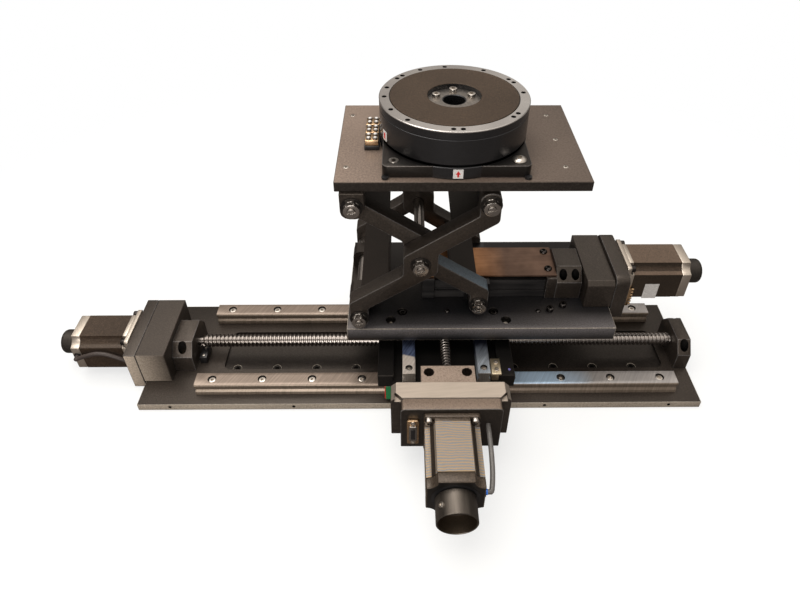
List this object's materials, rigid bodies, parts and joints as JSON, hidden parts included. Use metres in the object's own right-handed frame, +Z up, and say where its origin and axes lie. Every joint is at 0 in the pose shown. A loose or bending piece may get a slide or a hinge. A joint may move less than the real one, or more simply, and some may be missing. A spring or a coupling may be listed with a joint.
{
  "type": "motorized translation stage",
  "caption": "Motorized lab stage with crossed screw slides, a scissor lift on the upper slide and a round rotary table on top, each with a motor and a hand knob.",
  "frame": {"origin": "middle of the base plate's underside, on the surface the stage stands on", "axes": "+Z up, +X along the long rails and away from the X motor, -Y the side that the Y motor points to"},
  "size_m": [0.7943, 0.415, 0.3502],
  "materials": {
    "black_anodised": "black anodised, fine satin",
    "brushed_steel": "ground",
    "screw_steel": "ground and polished",
    "motor_body": "dark laminated body with satin end caps",
    "block_steel": "ground",
    "copper_sheet": "copper brown sheet",
    "gold_contacts": "yellow passivated",
    "lead_sleeve": "dark sleeve",
    "lead_grey": "grey sleeve"
  },
  "bodies": {
    "stage_base": {"base_plate": "black_anodised", "x_rail_front": "brushed_steel", "x_rail_rear": "brushed_steel", "x_bearing_block": "black_anodised", "x_end_block": "black_anodised", "x_motor_bracket": "black_anodised", "x_motor_flange": "black_anodised", "x_motor": "motor_body", "x_motor_lead": "lead_sleeve"},
    "x_screw_unit": {"x_screw": "screw_steel", "x_knob": "black_anodised"},
    "x_carriage": {"x_block_front_left": "block_steel", "x_block_front_right": "block_steel", "x_block_rear_left": "block_steel", "x_block_rear_right": "block_steel", "x_nut": "block_steel", "saddle_plate": "black_anodised", "y_rail_left": "brushed_steel", "y_rail_right": "brushed_steel", "y_bearing_block": "black_anodised", "y_end_block": "black_anodised", "y_motor_bracket": "black_anodised", "y_motor_flange": "black_anodised", "y_motor": "motor_body", "y_motor_lead": "lead_grey", "y_connector": "gold_contacts"},
    "y_screw_unit": {"y_screw": "screw_steel", "y_knob": "black_anodised"},
    "y_carriage": {"y_block_left": "block_steel", "y_block_right": "block_steel", "y_nut": "block_steel", "z_base_plate": "black_anodised", "z_bearing_block": "black_anodised", "z_motor_bracket": "black_anodised", "z_motor_flange": "black_anodised", "z_motor": "motor_body", "z_guide_rail": "block_steel", "z_guide_cover": "copper_sheet", "lower_pivot_bracket": "black_anodised", "lower_pivot_shaft": "screw_steel"},
    "z_screw_unit": {"z_screw": "screw_steel", "z_knob": "black_anodised"},
    "lift_arm_a": {"arm_a_front": "black_anodised", "arm_a_rear": "black_anodised", "arm_a_lower_tie": "black_anodised", "arm_a_upper_tie": "black_anodised", "centre_shaft": "screw_steel"},
    "lift_arm_b": {"arm_b_front": "black_anodised", "arm_b_rear": "black_anodised", "arm_b_lower_tie": "black_anodised", "arm_b_upper_tie": "black_anodised"},
    "lower_slider_unit": {"lower_slider": "block_steel"},
    "upper_slider_unit": {"upper_slider": "block_steel"},
    "lift_top": {"top_plate": "black_anodised", "upper_hinge_front": "black_anodised", "upper_hinge_rear": "black_anodised", "upper_pivot_shaft": "screw_steel", "rotary_base": "black_anodised", "rotary_connector": "gold_contacts"},
    "table": {"rotary_table": "black_anodised"}
  },
  "joints": [
    {"name": "x_slide", "type": "slide", "parent": "stage_base", "child": "x_carriage", "axis": [1, 0, 0], "range_m": [-0.21, 0.205]},
    {"name": "x_screw_turn", "type": "hinge", "parent": "stage_base", "child": "x_screw_unit", "pos_m": [0, 0, 0.031], "axis": [1, 0, 0], "range_deg": [-15500, 15500]},
    {"name": "y_slide", "type": "slide", "parent": "x_carriage", "child": "y_carriage", "axis": [0, 1, 0], "range_m": [-0.038, 0.03]},
    {"name": "y_screw_turn", "type": "hinge", "parent": "x_carriage", "child": "y_screw_unit", "pos_m": [0.0295, 0, 0.0683], "axis": [0, 1, 0], "range_deg": [-4000, 4000]},
    {"name": "lift", "type": "hinge", "parent": "y_carriage", "child": "lift_arm_a", "pos_m": [-0.0695, 0.035, 0.1158], "axis": [0, 1, 0], "range_deg": [-9, 24]},
    {"name": "arm_cross", "type": "hinge", "parent": "lift_arm_a", "child": "lift_arm_b", "pos_m": [-0.001, 0.035, 0.19365], "axis": [0, 1, 0], "range_deg": [-49, 19]},
    {"name": "top_level", "type": "hinge", "parent": "lift_arm_b", "child": "lift_top", "pos_m": [-0.0695, 0.035, 0.2715], "axis": [0, 1, 0], "range_deg": [-9.5, 24.5]},
    {"name": "upper_slider_level", "type": "hinge", "parent": "lift_arm_a", "child": "upper_slider_unit", "pos_m": [0.0675, 0.035, 0.2715], "axis": [0, 1, 0], "range_deg": [-24.5, 9.5]},
    {"name": "lower_slider_level", "type": "hinge", "parent": "lift_arm_b", "child": "lower_slider_unit", "pos_m": [0.0675, 0.035, 0.1158], "axis": [0, 1, 0], "range_deg": [-9.5, 24.5]},
    {"name": "z_screw_turn", "type": "hinge", "parent": "y_carriage", "child": "z_screw_unit", "pos_m": [0.0295, 0.035, 0.1158], "axis": [1, 0, 0], "range_deg": [-4200, 1600]},
    {"name": "table_turn", "type": "hinge", "parent": "lift_top", "child": "table", "pos_m": [0.0324, 0.0359, 0.3408], "axis": [0, 0, 1], "continuous": true}
  ],
  "couplings": [
    {"joint": "x_screw_turn", "follows": "x_slide", "rad_per_m": -1256.6},
    {"joint": "y_screw_turn", "follows": "y_slide", "rad_per_m": -1570.8},
    {"joint": "arm_cross", "follows": "lift", "ratio": -2},
    {"joint": "top_level", "follows": "lift", "ratio": 1},
    {"joint": "upper_slider_level", "follows": "lift", "ratio": -1},
    {"joint": "lower_slider_level", "follows": "lift", "ratio": 1},
    {"joint": "z_screw_turn", "follows": "lift", "ratio": -169.1}
  ]
}
